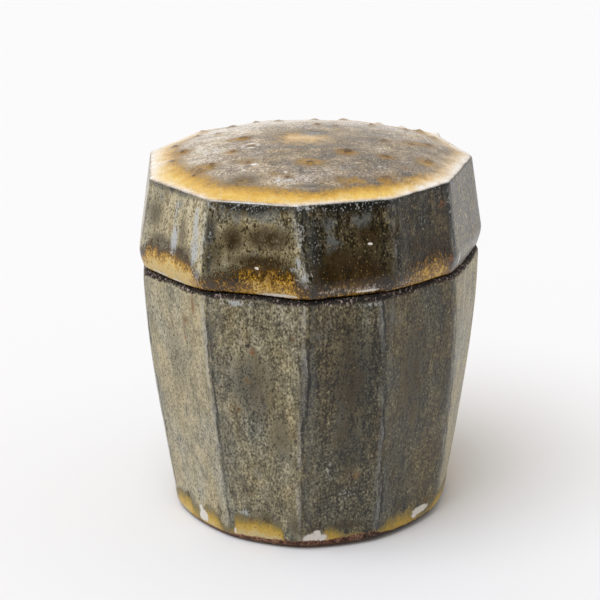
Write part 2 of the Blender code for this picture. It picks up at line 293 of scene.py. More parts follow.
def thrown_cut_and_glazed():
    """The tree that makes both pieces: turn the profile, cut the facets, ripple the glaze, raise the iron spots."""
    tree = bpy.data.node_groups.new("thrown_cut_and_glazed", "GeometryNodeTree")
    face = tree.interface
    face.new_socket("Profile", in_out="INPUT", socket_type="NodeSocketGeometry")
    for label, kind in (("Arrises", "Object"), ("Iron spots", "Object"), ("Glaze", "Material")):
        face.new_socket(label, in_out="INPUT", socket_type="NodeSocket" + kind)
    for label, value in (("Facet waver mm", 0.25), ("Facet waver size mm", 14.0), ("Glaze ripple mm", 0.10),
                         ("Glaze ripple size mm", 5.0), ("Relief sunk mm", 0.16), ("Seed", 3.0)):
        face.new_socket(label, in_out="INPUT", socket_type="NodeSocketFloat").default_value = value
    face.new_socket("Pot", in_out="OUTPUT", socket_type="NodeSocketGeometry")
    given = tree.nodes.new("NodeGroupInput").outputs

    arrises = add(tree, "ObjectInfo", {"Object": given["Arrises"]}, out="Geometry")
    around = add(tree, "MeshToCurve", {"Mesh": arrises})
    upright = add(tree, "MeshToCurve", {"Mesh": given["Profile"]})
    turned = add(tree, "CurveToMesh", {"Curve": around, "Profile Curve": upright})

    layer = {name: add(tree, "InputNamedAttribute", {"Name": name}, data_type=kind)
             for kind, names in (("FLOAT_VECTOR", ("round_place", "low_place", "high_place")),
                                 ("FLOAT", ("from_axis", "height", "cut", "level", "outside", "sag", "sagging",
                                            "facet_place", "run")))
             for name in names}
    cut_place = add(tree, "Mix", {0: layer["level"], 4: layer["low_place"], 5: layer["high_place"]},
                    out=1, data_type="VECTOR")
    place = add(tree, "Mix", {0: layer["cut"], 4: layer["round_place"], 5: cut_place}, out=1, data_type="VECTOR")
    level_place = add(tree, "VectorMath", {0: place, 3: layer["from_axis"]}, operation="SCALE")
    droop = add(tree, "Math", (layer["sagging"], layer["sag"]), operation="MULTIPLY")
    height = add(tree, "Math", (layer["height"], droop), operation="SUBTRACT")
    lift = add(tree, "CombineXYZ", {2: height})
    stands = add(tree, "VectorMath", (level_place, lift), operation="ADD")
    cut = add(tree, "SetPosition", {"Geometry": turned, "Position": stands})

    glaze_run = add(tree, "CombineXYZ", (layer["facet_place"], layer["run"]))
    mapped = add(tree, "StoreNamedAttribute", {"Geometry": cut, "Name": "glaze_run", "Value": glaze_run},
                 data_type="FLOAT2", domain="CORNER")
    closed = add(tree, "MergeByDistance", {"Geometry": mapped, "Distance": WELD_DISTANCE * MM})
    smooth = add(tree, "SetShadeSmooth", {"Geometry": closed})

    # The facets waver where the knife wandered, and the glaze ripples over them.
    here = add(tree, "InputPosition")
    normal = add(tree, "InputNormal")
    sunk = add(tree, "Math", (0.0, given["Relief sunk mm"]), operation="SUBTRACT")
    for label, shift in (("Facet waver", 0.0), ("Glaze ripple", 7.0)):
        scale = add(tree, "Math", (1 / MM, given[label + " size mm"]), operation="DIVIDE")
        seed = add(tree, "Math", (given["Seed"], shift), operation="ADD")
        waves = add(tree, "TexNoise", {"Vector": here, "W": seed, "Scale": scale, "Detail": 1.0}, noise_dimensions="4D")
        centred = add(tree, "Math", (waves, 0.5), operation="SUBTRACT")
        sunk = add(tree, "Math", (centred, given[label + " mm"], sunk), operation="MULTIPLY_ADD")
    on_outside = add(tree, "Math", (sunk, layer["outside"]), operation="MULTIPLY")

    # Iron spots: each is a ragged heap round its point, or a pit with a raised edge where it burst.
    spots = add(tree, "ObjectInfo", {"Object": given["Iron spots"]}, out="Geometry")
    nearest = add(tree, "SampleNearest", {"Geometry": spots}, domain="POINT")
    spot_place = add(tree, "SampleIndex", {"Geometry": spots, "Value": here, "Index": nearest},
                     data_type="FLOAT_VECTOR", domain="POINT")
    spot = {}
    for name in ("reach", "rise", "pit"):
        value = add(tree, "InputNamedAttribute", {"Name": name}, data_type="FLOAT")
        spot[name] = add(tree, "SampleIndex", {"Geometry": spots, "Value": value, "Index": nearest},
                         data_type="FLOAT", domain="POINT")
    away = add(tree, "VectorMath", (here, spot_place), out="Value", operation="DISTANCE")
    wobble = add(tree, "TexNoise", {"Vector": here, "Scale": size(1.6), "Detail": 1.0})
    wide = add(tree, "MapRange", {"Value": wobble, "From Min": 0.3, "From Max": 0.7, "To Min": 0.7, "To Max": 1.3})
    ragged = add(tree, "Math", (away, wide), operation="MULTIPLY")
    share = add(tree, "Math", (ragged, spot["reach"]), operation="DIVIDE")
    heap, hollow, halo = (add(tree, "MapRange", {"Value": share, "From Min": edge, "From Max": core},
                              interpolation_type="SMOOTHSTEP") for edge, core in ((1.0, 0.1), (0.55, 0.1), (2.4, 0.5)))
    bite = add(tree, "Math", (hollow, spot["pit"]), operation="MULTIPLY")
    shape = add(tree, "Math", (heap, bite), operation="SUBTRACT")
    raised = add(tree, "Math", (shape, spot["rise"]), operation="MULTIPLY")
    total = add(tree, "Math", (on_outside, raised), operation="ADD")
    metres = add(tree, "Math", (total, MM), operation="MULTIPLY")
    outwards = add(tree, "VectorMath", {0: normal, 3: metres}, operation="SCALE")
    marked = smooth
    for name, value in (("iron", shape), ("iron_halo", halo)):
        marked = add(tree, "StoreNamedAttribute", {"Geometry": marked, "Name": name, "Value": value},
                     data_type="FLOAT", domain="POINT")
    glazed = add(tree, "SetPosition", {"Geometry": marked, "Offset": outwards})
    real = add(tree, "RealizeInstances", {"Geometry": glazed})
    finished = add(tree, "SetMaterial", {"Geometry": real, "Material": given["Glaze"]})
    tree.links.new(finished, tree.nodes.new("NodeGroupOutput").inputs["Pot"])
    return tree


def spots_wire(name, spots):
    """Points where iron boiled up through the glaze: x, y and z in mm, reach, rise, and how deep its pit is."""
    spots = np.array(spots, float)
    return wire(name, spots[:, :3] * MM, {"reach": spots[:, 3] * MM, "rise": spots[:, 4], "pit": spots[:, 5]})


def thrown(name, tree, profile, arrises, spots, glaze, **sizes):
    """Runs the tree on one profile and keeps its result as a plain mesh."""
    given = {"Arrises": arrises, "Iron spots": spots, "Glaze": glaze, **sizes}
    modifier = profile.modifiers.new("throwing", "NODES")
    modifier.node_group = tree
    for socket in tree.interface.items_tree:
        if socket.in_out == "INPUT" and socket.name in given:
            modifier[socket.identifier] = given[socket.name]
    bpy.context.view_layer.update()
    depsgraph = bpy.context.evaluated_depsgraph_get()
    mesh = bpy.data.meshes.new_from_object(profile.evaluated_get(depsgraph), preserve_all_data_layers=True,
                                           depsgraph=depsgraph)
    profile.modifiers.remove(modifier)
    mesh.name = name
    turn_outwards(mesh)
    return place_in_scene(name, mesh)


def turn_outwards(mesh):
    """Turns every face over if the closed mesh was made inside out."""
    mesh.calc_loop_triangles()
    triangles = np.zeros(len(mesh.loop_triangles) * 3, np.int32)
    mesh.loop_triangles.foreach_get("vertices", triangles)
    a, b, c = (places_of(mesh)[0][corner] for corner in triangles.reshape(-1, 3).T)
    if np.einsum("ij,ij->i", a, np.cross(b, c)).sum() < 0:
        mesh.flip_normals()


# Iron that boiled up through the glaze. Lid top: x, y, reach and rise in mm, and its pit's share of the rise.
TOP_SPOTS = (
    (8.7, -10.9, 1.9, 0.66, 0), (18.1, -11.8, 1.5, 0.41, 0.2), (17.6, -25, 1.8, 0.51, 1.5),
    (28.5, -10.3, 1.8, 0.46, 0.3), (29.1, 3.9, 1.6, 0.46, 0), (25, 1.6, 1.2, 0.3, 0), (-16.3, 2.5, 1.8, 0.55, 0.2),
    (-18.3, -8.1, 1.1, 0.3, 0), (-23.1, -15.3, 1.4, 0.46, 0.2), (-25.5, -18, 1.4, 0.41, 0.4),
    (-26.9, -20.4, 1, 0.3, 0), (-30.6, -1.4, 1.7, 0.46, 0), (-33.2, 5.7, 1.3, 0.46, 0), (-33.1, -7.3, 1.2, 0.3, 0),
    (-23, 13.1, 1, 0.3, 0), (-19.5, 21.9, 1.6, 0.51, 0), (-28, 14.7, 1.1, 0.36, 0), (-8.1, 26.8, 1.5, 0.41, 0),
    (0.1, -18.7, 1.4, 0.36, 0), (28.1, 23.7, 1.6, 0.55, 0), (24.5, 22, 1.2, 0.41, 0), (31.6, 17, 1.4, 0.41, 0.2),
    (18.1, 1.3, 1.2, 0.3, 0), (15.8, 22.5, 1.3, 0.46, 0), (6.4, 14.8, 1.1, 0.3, 0), (1.9, 16.1, 1.3, 0.36, 0),
    (9, 36, 1.6, 0.55, 0), (18.3, 34, 1.5, 0.55, 0), (32.6, 24, 1.3, 0.55, 0), (34.9, 14.5, 1, 0.41, 0),
    (8, -29.7, 0.8, 0.26, 1.6), (22.5, -17.5, 0.8, 0.26, 1.6), (-14.1, -5.3, 1.4, 0.21, 1.8),
    (1.5, 30, 1.4, 0.41, 0), (24, 31, 1.3, 0.51, 0), (-27.5, 24, 1.3, 0.41, 0), (-14, 33, 1.5, 0.46, 0),
    (-14.5, -16.8, 1, 0.26, 0), (-5, -26.5, 0.9, 0.21, 0),
)
# The same on the walls, by direction and height. They lie on the facets, a little inside the arrises' radius.
SPOT_INSET = 0.985
LID_WALL_SPOTS = (
    (44.5, 84, 0.9, 0.2, 1.8), (-16.3, 73.2, 0.9, 0.35, 0), (-12.5, 71.6, 0.8, 0.3, 0), (-51, 79, 0.7, 0.2, 0),
    (52, 85.4, 0.9, 0.3, 0), (-20, 84, 0.6, 0.2, 1.8),
)
BODY_SPOTS = (
    (-43.8, 57.6, 0.9, 0.2, 1.8), (30, 54, 0.7, 0.2, 1.6), (-5.5, 57, 0.6, 0.2, 1.8), (-21.2, 45.5, 0.6, 0.2, 1.8),
    (-23.8, 6.9, 0.7, 0.2, 1.8), (17.5, 19.3, 0.8, 0.2, 0), (-24.5, 37.5, 0.6, 0.2, 1.6), (34, 49, 0.7, 0.15, 0),
)

LAYERS = ("amber", "cream", "brown", "blue", "pale", "rust", "dark")
FACET_WIDTH = 23.0
# How much of a facet's width its tone takes to change over at either arris.
ARRIS_BLEND = 0.03
# How many mm to either side of the lid's rim its top's glaze takes to change over to its wall's.
RIM_BLEND = 0.9
# From the facet at the far left, round the front to the right and back: how pale the ash glaze is painted on each.
# This is partly the ash itself and partly painted light and shade: facets that face the light or mirror the bright
# room are painted paler, those facing the dark side towards the camera darker.
BODY_ASH_AND_SHADE = (0.79, 0.81, 0.6, 0.37, 0.38, 0.8, 0.64, 0.5, 0.62, 0.52, 0.72)
LID_ASH_AND_SHADE = (0.72, 0.85, 0.62, 0.27, 0.24, 0.36, 0.52, 0.5, 0.52, 0.55, 0.62)
# How gritty it is on each: how strongly its pale and dark grains stand out.
BODY_GRIT = (1, 1.05, 1.35, 1.3, 1.02, 1.4, 1.15, 1.3, 1.1, 1.25, 1.05)
LID_GRIT = (1.1, 1.12, 1.18, 0.72, 0.65, 1.4, 1.1, 1.2, 0.95, 1.2, 1.1)
# Marks on the lid's walls, by layer: direction, height, half width and half height in mm, strength. Most are what
# the kiln left; some pale ones are painted glints.
LID_WALL_MARKS = {
    "brown": (
        (-120, 78, 7, 5, 0.5), (-60, 81, 3.4, 4, 0.9), (-55, 75.2, 6, 2, 0.95), (-44.5, 79, 1.8, 5, 0.6),
        (-43, 74.6, 4, 2, 0.9), (-29.5, 76, 1.8, 5, 0.6), (-24.6, 79.6, 2.4, 3, 1.1), (-16, 75.2, 8, 1.6, 0.95),
        (-13.5, 80.4, 5, 2.4, 1.15), (6, 72.5, 4, 3, 0.95), (9, 75.5, 5, 3, 0.6), (17, 74.6, 5, 3, 0.6),
        (18, 72.4, 6, 3, 1), (21.3, 80.6, 3, 2.6, 0.8), (40, 76, 5, 2.2, 0.8), (47, 75, 5, 1.8, 0.6),
        (100, 78, 8, 5, 0.6), (140, 76, 8, 5, 0.6), (200, 77, 9, 4, 0.6),
    ),
    "blue": (
        (-140, 84, 9, 3, 0.6), (-58, 85.6, 5, 1.8, 0.7), (-47, 85, 3, 2, 0.6), (-27, 85.2, 5, 2.4, 0.7),
        (-18, 76.8, 4, 1.4, 0.45), (-15, 85.6, 5, 2.2, 0.8), (-8, 84, 3, 3, 0.6), (6, 79.5, 4, 3, 0.5),
        (6, 84, 5, 2.6, 0.6), (20, 84, 5, 2.4, 0.6), (44, 84, 3, 4, 0.5), (160, 84, 12, 3, 0.6),
    ),
    # The narrow upright pale streaks from -49 to -34 degrees and the small mark at -4.9 are painted glints, reflections
    # off the glossy glaze; the rest are pale ash.
    "pale": (
        (-48.6, 83, 0.8, 4.2, 0.85), (-48.3, 77, 1.2, 3.8, 1.1), (-38, 81.5, 0.9, 4.2, 0.85),
        (-37.4, 75.8, 1.3, 4, 1.05), (-36, 70.8, 1, 2.4, 0.6), (-34.2, 79, 0.9, 6, 0.35), (-33, 87.2, 2, 1.5, 0.7),
        (-4.9, 73.9, 1.4, 0.8, 0.6), (-3.4, 75.4, 0.7, 1.5, 0.8), (-2.6, 82, 1.2, 5, 0.35),
        (-1.8, 71.8, 2, 2.6, 0.5), (-1.5, 87.6, 2.2, 1.1, 0.7), (10, 68.2, 6, 0.9, 0.5), (22, 68.2, 6, 0.9, 0.5),
        (34, 68, 4, 0.8, 0.4), (43, 81.2, 1.3, 2.4, 0.6),
    ),
    "dark": (
        (-31.8, 74.5, 0.9, 4, 0.7), (-31.6, 81, 1.1, 4.5, 0.75), (1.8, 79, 1.1, 6, 0.75),
        (30.4, 74.5, 0.8, 3.5, 0.6), (52, 84.6, 0.9, 0.9, 0.9), (56, 70.6, 0.8, 1.4, 0.95), (57, 79, 0.42, 9, 1.4),
    ),
    "rust": (
        (-38, 68.2, 1.5, 0.8, 0.6), (53.5, 84, 1.2, 1.6, 0.75), (54.2, 70.4, 1.2, 1.4, 0.75),
        (70, 86, 0.5, 1.2, 0.7),
    ),
    "cream": (
        (-56, 67, 6, 0.5, 0.7), (-46, 66.9, 5, 0.45, 0.7), (-16.6, 73.6, 0.42, 0.42, 1.2),
        (-10, 67.3, 6.5, 0.7, 0.8), (19.7, 67.5, 4.5, 0.45, 0.8), (20.6, 78.4, 0.7, 0.3, 1), (62, 69, 1.2, 3, 0.6),
        (130, 67.6, 9, 0.6, 0.8), (185, 67.6, 9, 0.6, 0.8),
    ),
}
# Round the lid's lower wall: direction, how high the honey pool climbs in mm, how thick it is at the edge.
LID_POOL = (
    (-101, 6, 1), (-70, 5, 0.9), (-66, 5, 1), (-60, 8.5, 1.5), (-47, 8.5, 1.6), (-38, 7, 1.2), (-34, 4, 0.6),
    (-30, 5.5, 0.55), (-24, 7.5, 0.74), (-18, 9, 0.86), (-12, 9.5, 0.93), (-6, 9, 0.95), (-3, 6, 0.7),
    (1.5, 4, 0.35), (6, 8, 0.48), (12, 9.5, 0.56), (20, 9, 0.52), (27, 5, 0.35), (31, 5, 0.55), (37, 6.5, 0.75),
    (45, 8, 0.86), (52, 8.5, 0.86), (56, 5, 0.5), (62, 3, 0.3), (80, 3, 0.3), (93, 3, 0.3), (112, 8, 0.95),
    (124, 9, 1.05), (129, 4, 0.5), (136, 7, 0.7), (148, 9.5, 0.95), (158, 6, 0.8), (165, 3.5, 0.4), (172, 8, 0.85),
    (186, 9.5, 1.1), (193, 4, 0.5), (203, 7, 0.8), (216, 8.5, 0.95), (226, 4, 0.5), (236, 7.5, 0.9), (250, 5, 0.7),
)
BODY_MARKS = {
    "cream": (
        (-112, 4.6, 0.9, 1.4, 0.8), (-110, 3, 2.2, 1.6, 1), (-51.6, 4.6, 0.9, 1.4, 0.8), (-49.8, 2.6, 1.9, 2, 1.1),
        (-31.2, 2.2, 0.6, 2.2, 0.8), (2.6, 2.6, 3.3, 2.1, 1.15), (3, 4.6, 1.2, 1, 0.9), (49, 2.6, 1.6, 1.5, 0.9),
        (52.5, 3.6, 3.4, 1.3, 1.1), (127, 2.8, 2.8, 1.8, 1), (130, 4.4, 1.1, 1.6, 0.9), (192.6, 2.4, 1.6, 1, 0.9),
        (195, 2.6, 1.8, 2, 0.9),
    ),
    "pale": (
        (-52, 9, 2, 3, 0.5), (-25.5, 8.6, 1.5, 1.4, 0.9), (-23.9, 64.8, 2.8, 0.9, 0.8),
        (-18.5, 64.8, 1.6, 0.6, 0.55), (8, 21.5, 2, 4, 0.3), (15.1, 15, 2.4, 1.5, 0.45), (20, 64.5, 4, 0.6, 0.5),
        (140, 20, 1.6, 2.2, 0.5), (186, 60, 2.2, 0.9, 0.6),
    ),
    "blue": (
        (-58, 30, 3, 12, 0.3), (-30, 25, 2.4, 14, 0.35), (-27, 47, 2.6, 8, 0.4), (-19.6, 21, 2.5, 3, 0.4),
        (-16.4, 37, 2.4, 7, 0.5), (-14, 47, 3, 4, 0.35), (4, 58, 4, 5, 0.4), (10.5, 38, 2.6, 9, 0.45),
        (28, 60, 4, 4, 0.4), (95, 40, 3, 14, 0.4), (130, 30, 3, 12, 0.4), (164, 24, 3, 12, 0.4),
        (193, 46, 3, 14, 0.4), (226, 34, 3, 12, 0.35),
    ),
    "brown": (
        (-60, 6.5, 3, 1.2, 0.5), (-51, 46, 3.5, 9, 0.4), (-38.6, 6, 1.2, 3.6, 0.6), (-19, 44, 5, 8, 0.55),
        (-17.3, 8, 1.8, 1.8, 0.7), (-10, 31, 3, 6, 0.4), (-5.5, 6.5, 1.8, 3.4, 0.55), (14, 5.8, 5, 1.2, 0.65),
        (14, 30, 4, 10, 0.4), (15, 46, 4.5, 12, 0.6), (40, 42, 4.5, 14, 0.5), (42, 8.2, 3.4, 1.5, 0.7),
        (110, 45, 5, 12, 0.5), (146, 36, 5, 12, 0.55), (178, 50, 5, 9, 0.45), (206, 34, 4, 10, 0.5),
        (240, 44, 4, 10, 0.4),
    ),
    "dark": (
        (-33, 30, 0.5, 10, 0.6), (-32, 55, 0.5, 6, 0.6), (-20, 54.5, 0.6, 0.5, 1.2), (-9.5, 60.5, 0.35, 0.35, 1.3),
        (-2.4, 40, 0.6, 12, 0.6), (16.4, 61, 0.4, 0.4, 1.3), (25, 54, 0.5, 5, 0.7), (26.5, 32, 0.5, 10, 0.6),
    ),
    "rust": (
        (-44.8, 54.5, 0.8, 2.6, 0.5), (-39.2, 62.6, 0.6, 2.8, 0.8), (-33.5, 65.2, 0.9, 0.7, 0.6),
        (-18.5, 53, 1, 1.2, 0.52), (15.3, 65.8, 0.6, 0.5, 0.9), (30.4, 53.6, 0.7, 1, 0.5),
        (41.2, 54.6, 0.9, 0.9, 0.4), (56, 5.4, 0.8, 1, 0.8),
    ),
}
# Round the foot: direction, how high the honey pool stands in mm, how thick it is at its lower edge.
FOOT_POOL = (
    (-101, 3, 0.6), (-76, 3, 0.6), (-68, 5, 1), (-60, 5.5, 1.05), (-56, 4.5, 0.7), (-51, 3.5, 0.5),
    (-47.5, 5.5, 0.95), (-44, 5.5, 1.1), (-40, 4.5, 1), (-37, 3, 0.4), (-32, 3.5, 0.6), (-30.5, 6.6, 1.12),
    (-25, 6.3, 1.28), (-16, 6.5, 1.32), (-11, 5, 1.2), (-9.5, 2, 0.5), (-5, 1.5, 0.25), (4, 3, 0.5),
    (6.5, 5.2, 1.05), (10, 4.8, 1), (13, 3.2, 0.8), (20, 2.6, 0.7), (28, 2.4, 0.55), (31, 3.6, 0.75), (36, 5, 0.8),
    (44, 6, 0.85), (47.5, 4.5, 0.7), (58, 3, 0.5), (64, 5, 0.95), (72, 5, 0.85), (90, 4, 0.7), (104, 5.5, 1.05),
    (118, 3, 0.4), (130, 3.5, 0.6), (140, 6, 1.1), (152, 4, 0.8), (163, 2, 0.3), (172, 6.5, 1.1), (186, 5, 1),
    (195, 3.5, 0.5), (206, 6, 1.1), (218, 4, 0.7), (227, 2, 0.3), (240, 5, 1),
)
# Round the foot: direction, how high the bare clay shows in mm.
FOOT_BARE = (
    (-101, 0.7), (-60, 0.8), (-38, 1.1), (-28, 1.7), (-8, 2.3), (8, 2.3), (18, 2.6), (26, 2.8), (29, 1.9), (36, 1.2),
    (55, 1.2), (80, 1.4), (130, 1.8), (180, 1.2), (225, 0.9),
)
# Round the foot: direction, how far its edge warped up off the ground in mm.
FOOT_LIFT = (
    (-101, 0.05), (-30, 0.1), (0, 0.2), (15, 0.4), (32, 0.65), (70, 0.7), (90, 0.5), (120, 0.1), (200, 0.05),
)
# Marks on the lid's top, by layer: x, y, half width and half depth in mm, strength.
LID_TOP_MARKS = {
    "amber": (
        (-33, -9, 3, 3, 0.6), (-31.5, -2, 4.5, 5, 0.66), (-25, -17, 4.5, 4, 0.72), (-22, 22, 5, 3, 0.5),
        (-18.5, -8.4, 3, 2, 0.6), (-17, 1.6, 5, 2.6, 0.66), (-15.5, -16.2, 5, 2.2, 0.55),
        (-15.2, -27.4, 4.2, 3.4, 0.62), (-8, -24.5, 3, 2, 0.5), (-1.6, 0, 10.4, 9.4, 0.74), (0, 22, 9, 3, 0.42),
        (0.1, -18.6, 5.5, 3.6, 0.68), (8, 8, 6, 2, 0.4), (9, -11.8, 5, 2.8, 0.64), (10, -27.5, 7, 3.2, 0.6),
        (18, -26.5, 4.5, 3, 0.7), (18, -12.4, 4.5, 2.4, 0.6), (24, 23, 5, 3, 0.5), (26.5, 3, 5.2, 3, 0.62),
        (28, -12, 5, 4.5, 0.66), (33, 18, 5, 5, 0.55),
    ),
    "cream": (
        (-15.9, -5.4, 0.6, 1.7, 0.7), (-15.3, -21.6, 0.6, 0.6, 0.8), (-14.3, -7, 1.7, 0.6, 0.8),
        (-14.1, -3.7, 1.7, 0.6, 0.8), (-13, -18.6, 0.9, 0.5, 1.2), (-12.4, -5.2, 0.6, 1.7, 0.7),
        (-5.5, -23.9, 0.5, 0.5, 0.8), (-1.6, -0.6, 10, 8.6, 0.28),
    ),
    "dark": (
        (-27, -10, 3, 1.4, 0.35), (-24, 9, 6, 1.6, 0.3), (-20, -24, 3, 1, 0.35), (-9, -13, 7, 1.6, 0.35),
        (-8.8, -1.6, 1.4, 1.2, 0.6), (-3, -8.4, 6.5, 0.8, 0.6), (0.6, -31, 5, 1.1, 0.6), (0.8, 4.4, 3.8, 3, 1.15),
        (5, -7.6, 3, 0.7, 0.45), (8, -6, 6, 1.4, 0.3), (10, 0, 7, 2.4, 0.3), (22.5, -15.8, 5, 2, 0.35),
        (26, -4, 5, 1.6, 0.3),
    ),
    "blue": (
        (-20, -3, 6, 3, 0.4), (9.4, -20.6, 4, 2.6, 0.7),
    ),
    "brown": (
        (-33, -9, 2.6, 2.4, 0.45), (-31, -0.6, 3.6, 3.2, 0.5), (-24.6, -17, 4.2, 3, 0.6), (-16.6, 2, 3.6, 2, 0.5),
        (-15.4, -26.8, 4.6, 3, 0.85), (-15.4, -15.8, 4.2, 1.8, 0.5), (0.1, -18.8, 4.4, 2.8, 0.5),
        (2, 20, 6, 2.4, 0.35), (8, -27, 5, 2, 0.45), (9, -12, 4.2, 2.4, 0.55), (18, -26, 3.6, 2.4, 0.5),
        (18, -12.2, 3.8, 2, 0.5), (26.4, 2.4, 4.4, 2.4, 0.5), (28, -11.2, 4.2, 3.4, 0.55),
    ),
    "pale": (
        (-23, -6, 5, 3, 0.4), (-18, -22, 5, 2, 0.4), (-4, -28, 6, 1.6, 0.4), (16, -18.5, 6, 1.8, 0.4),
        (20, 8, 8, 3, 0.35), (24, -25, 4.5, 2, 0.6),
    ),
    "rust": (
        (30.4, -22.4, 0.7, 1.4, 0.6),
    ),
}
# Round the lid's rim: direction, how far the honey amber reaches in from the rim in mm, its strength, and how far
# the cream does.
RIM_POOL = (
    (-101, 10, 1, 4.2), (-80, 10, 1.05, 4), (-66, 10, 1.1, 2.6), (-60, 10, 1.08, 1.6), (-45, 10, 1, 1.5),
    (-36, 9, 0.98, 1.2), (-31, 10, 0.98, 0.6), (-20, 10, 0.96, 0.5), (-12, 9, 0.96, 0.6), (-6, 9, 0.98, 0.9),
    (0, 8, 1, 1.6), (8, 8, 1, 1.4), (16, 9, 1.06, 0.8), (24, 9, 1.08, 0.9), (32, 9, 1.06, 1.5), (44, 9, 0.98, 2.6),
    (60, 9, 0.86, 4.6), (80, 9, 0.8, 4.8), (100, 8, 0.75, 3.6), (130, 8, 0.9, 3.2), (170, 9, 0.9, 3.4),
    (210, 8, 0.9, 3.4),
)
# Round the lid's wall just under the rim: direction, how dark the iron edge is there, how deep it hangs in mm.
RIM_IRON = (
    (-101, 0.2, 1), (-66, 0.6, 1), (-60, 1, 1.4), (-45, 0.9, 1.3), (-38, 0.4, 0.8), (-31, 0.6, 1.2), (-26, 1.2, 2),
    (-18, 1.25, 2.2), (-12, 0.8, 1.4), (-8, 0.9, 1.8), (-4, 0.6, 1.2), (-1, 0.2, 0.8), (5, 1, 1.6), (12, 1.2, 2.4),
    (20, 1.2, 2.4), (28, 0.9, 1.8), (36, 0.7, 1.2), (45, 0.6, 1), (56, 0.9, 1.4), (62, 0.3, 0.8), (100, 0.3, 0.8),
    (160, 0.8, 1.6), (220, 0.6, 1.4),
)


def places_of(mesh):
    """The mesh's points in mm: place, direction from the front towards the right, and distance from the axis."""
    flat = np.zeros(len(mesh.vertices) * 3)
    mesh.vertices.foreach_get("co", flat)
    places = flat.reshape(-1, 3) / MM
    return places, np.degrees(np.arctan2(places[:, 0], -places[:, 1])), np.hypot(places[:, 0], places[:, 1])


def layer_of(mesh, name):
    """One painted layer of the mesh as numbers."""
    values = np.zeros(len(mesh.vertices))
    mesh.attributes[name].data.foreach_get("value", values)
    return values


def paint(mesh, layers):
    """Writes the layers on the mesh's points."""
    for name, values in layers.items():
        attribute = mesh.attributes.get(name) or mesh.attributes.new(name, "FLOAT", "POINT")
        attribute.data.foreach_set("value", np.clip(values, 0, 1.5).astype(float))


def round_the_jar(direction, table):
    """Reads a table that runs round the jar by direction, giving one array for each of its other columns."""
    rows = np.array(table, float)
    return [np.interp(direction, rows[:, 0], column, period=360) for column in rows.T[1:]]


def ramp(values, zero_at, one_at):
    """0 up to one value and 1 from the other on, straight in between."""
    return np.clip((values - zero_at) / (one_at - zero_at), 0, 1)


def lay(layers, name, values):
    """Lays values on a painted layer, which keeps the stronger of both."""
    layers[name] = np.maximum(layers[name], values)


def soft_marks(mesh, layers, marks, share, from_above=False):
    """Soft oval marks, each spoken of by direction and height on a wall, or by x and y on the lid's top."""
    places, direction, radius = places_of(mesh)
    for name, ovals in marks.items():
        for first, second, width, tall, strength in ovals:
            if from_above:
                across, up = places[:, 0] - first, places[:, 1] - second
            else:
                across = np.radians((direction - first + 180) % 360 - 180) * radius
                up = places[:, 2] - second
            lay(layers, name, strength * np.exp(-((across / width) ** 2 + (up / tall) ** 2)) * share)


def by_facet(mesh, shares):
    """One value for each facet, changing over at the arris between two facets."""
    at = [facet + end for facet in range(FACETS) for end in (ARRIS_BLEND, 1 - ARRIS_BLEND)]
    return np.interp(layer_of(mesh, "facet_place"), at, np.repeat(shares, 2), period=FACETS)


def joint_smoke_and_shade(radius):
    """How dark the clay in the joint between lid and body is painted: black at the outside, hardly any on the collar.
    It is partly smoke and partly painted shade where the lid overhangs.
    """
    return np.maximum(ramp(radius, 36.5, 39.5), 0.12)


def run_at_edge(mesh):
    """How far along the profile the lid's rim lies, where its top turns into its wall."""
    height = places_of(mesh)[0][:, 2]
    run, cut = layer_of(mesh, "run"), layer_of(mesh, "cut")
    near = (cut > 0.9) & (np.abs(height - LID_EDGE) < 1.2) & (layer_of(mesh, "outside") > 0.5)
    return float(np.median(run[near]))


